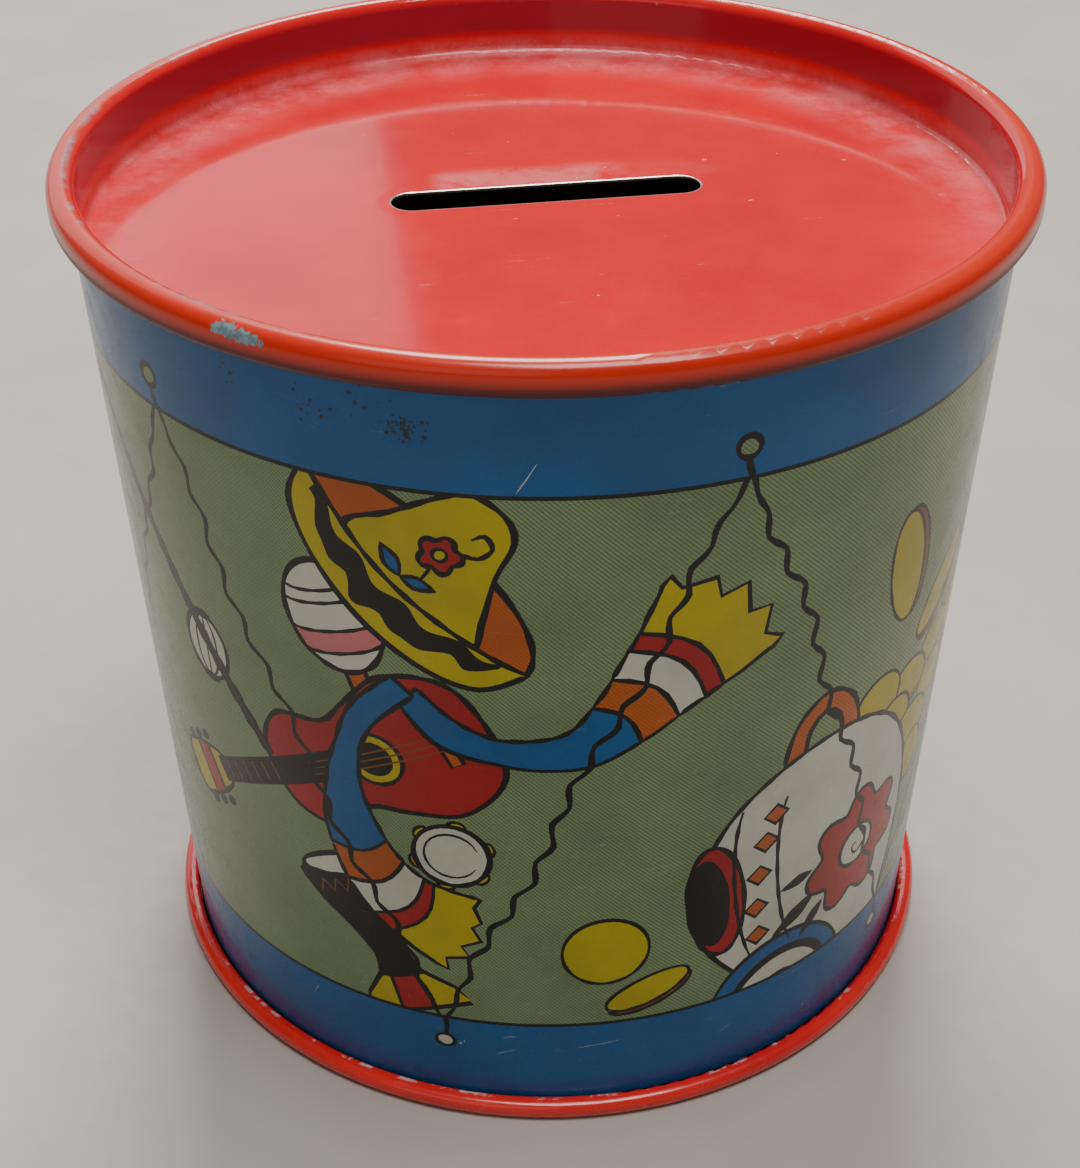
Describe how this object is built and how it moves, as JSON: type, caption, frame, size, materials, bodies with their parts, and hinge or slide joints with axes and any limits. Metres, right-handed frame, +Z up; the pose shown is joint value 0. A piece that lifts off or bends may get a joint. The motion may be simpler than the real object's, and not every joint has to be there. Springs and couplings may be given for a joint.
{
  "type": "tin money box",
  "caption": "Round tapered tin money box with a printed wall, a recessed red lid with a coin slot, and a coin trap with a quarter-turn latch in the base.",
  "frame": {"origin": "centre of the ring that the box stands on", "axes": "+Z up along the box's axis, +X along the coin slot, -Y towards the front of the printed scene"},
  "size_m": [0.1, 0.1, 0.094],
  "materials": {
    "printed_tin": "gloss litho print on tinplate",
    "lid_enamel": "gloss enamel, lightly worn",
    "base_enamel": "gloss enamel, lightly worn",
    "bare_tinplate": "rolled tinplate",
    "plated_steel": "dull plating",
    "spring_steel": "blued spring steel",
    "rivet_metal": "dull, clinched"
  },
  "bodies": {
    "shell": {"body_wall": "printed_tin", "lid_end": "lid_enamel", "base_end": "base_enamel"},
    "trap": {"trap_plate": "bare_tinplate", "spring_washer": "spring_steel", "plain_washer": "plated_steel"},
    "latch": {"latch_bar": "plated_steel", "finger_grip": "plated_steel", "pivot_rivet": "rivet_metal"}
  },
  "joints": [
    {"name": "trap_slide", "type": "slide", "parent": "shell", "child": "trap", "axis": [0, 0, -1], "range_m": [0, 0.04]},
    {"name": "latch_turn", "type": "hinge", "parent": "trap", "child": "latch", "pos_m": [0, 0, 0.006], "axis": [0, 0, 1], "range_deg": [0, 90]}
  ]
}
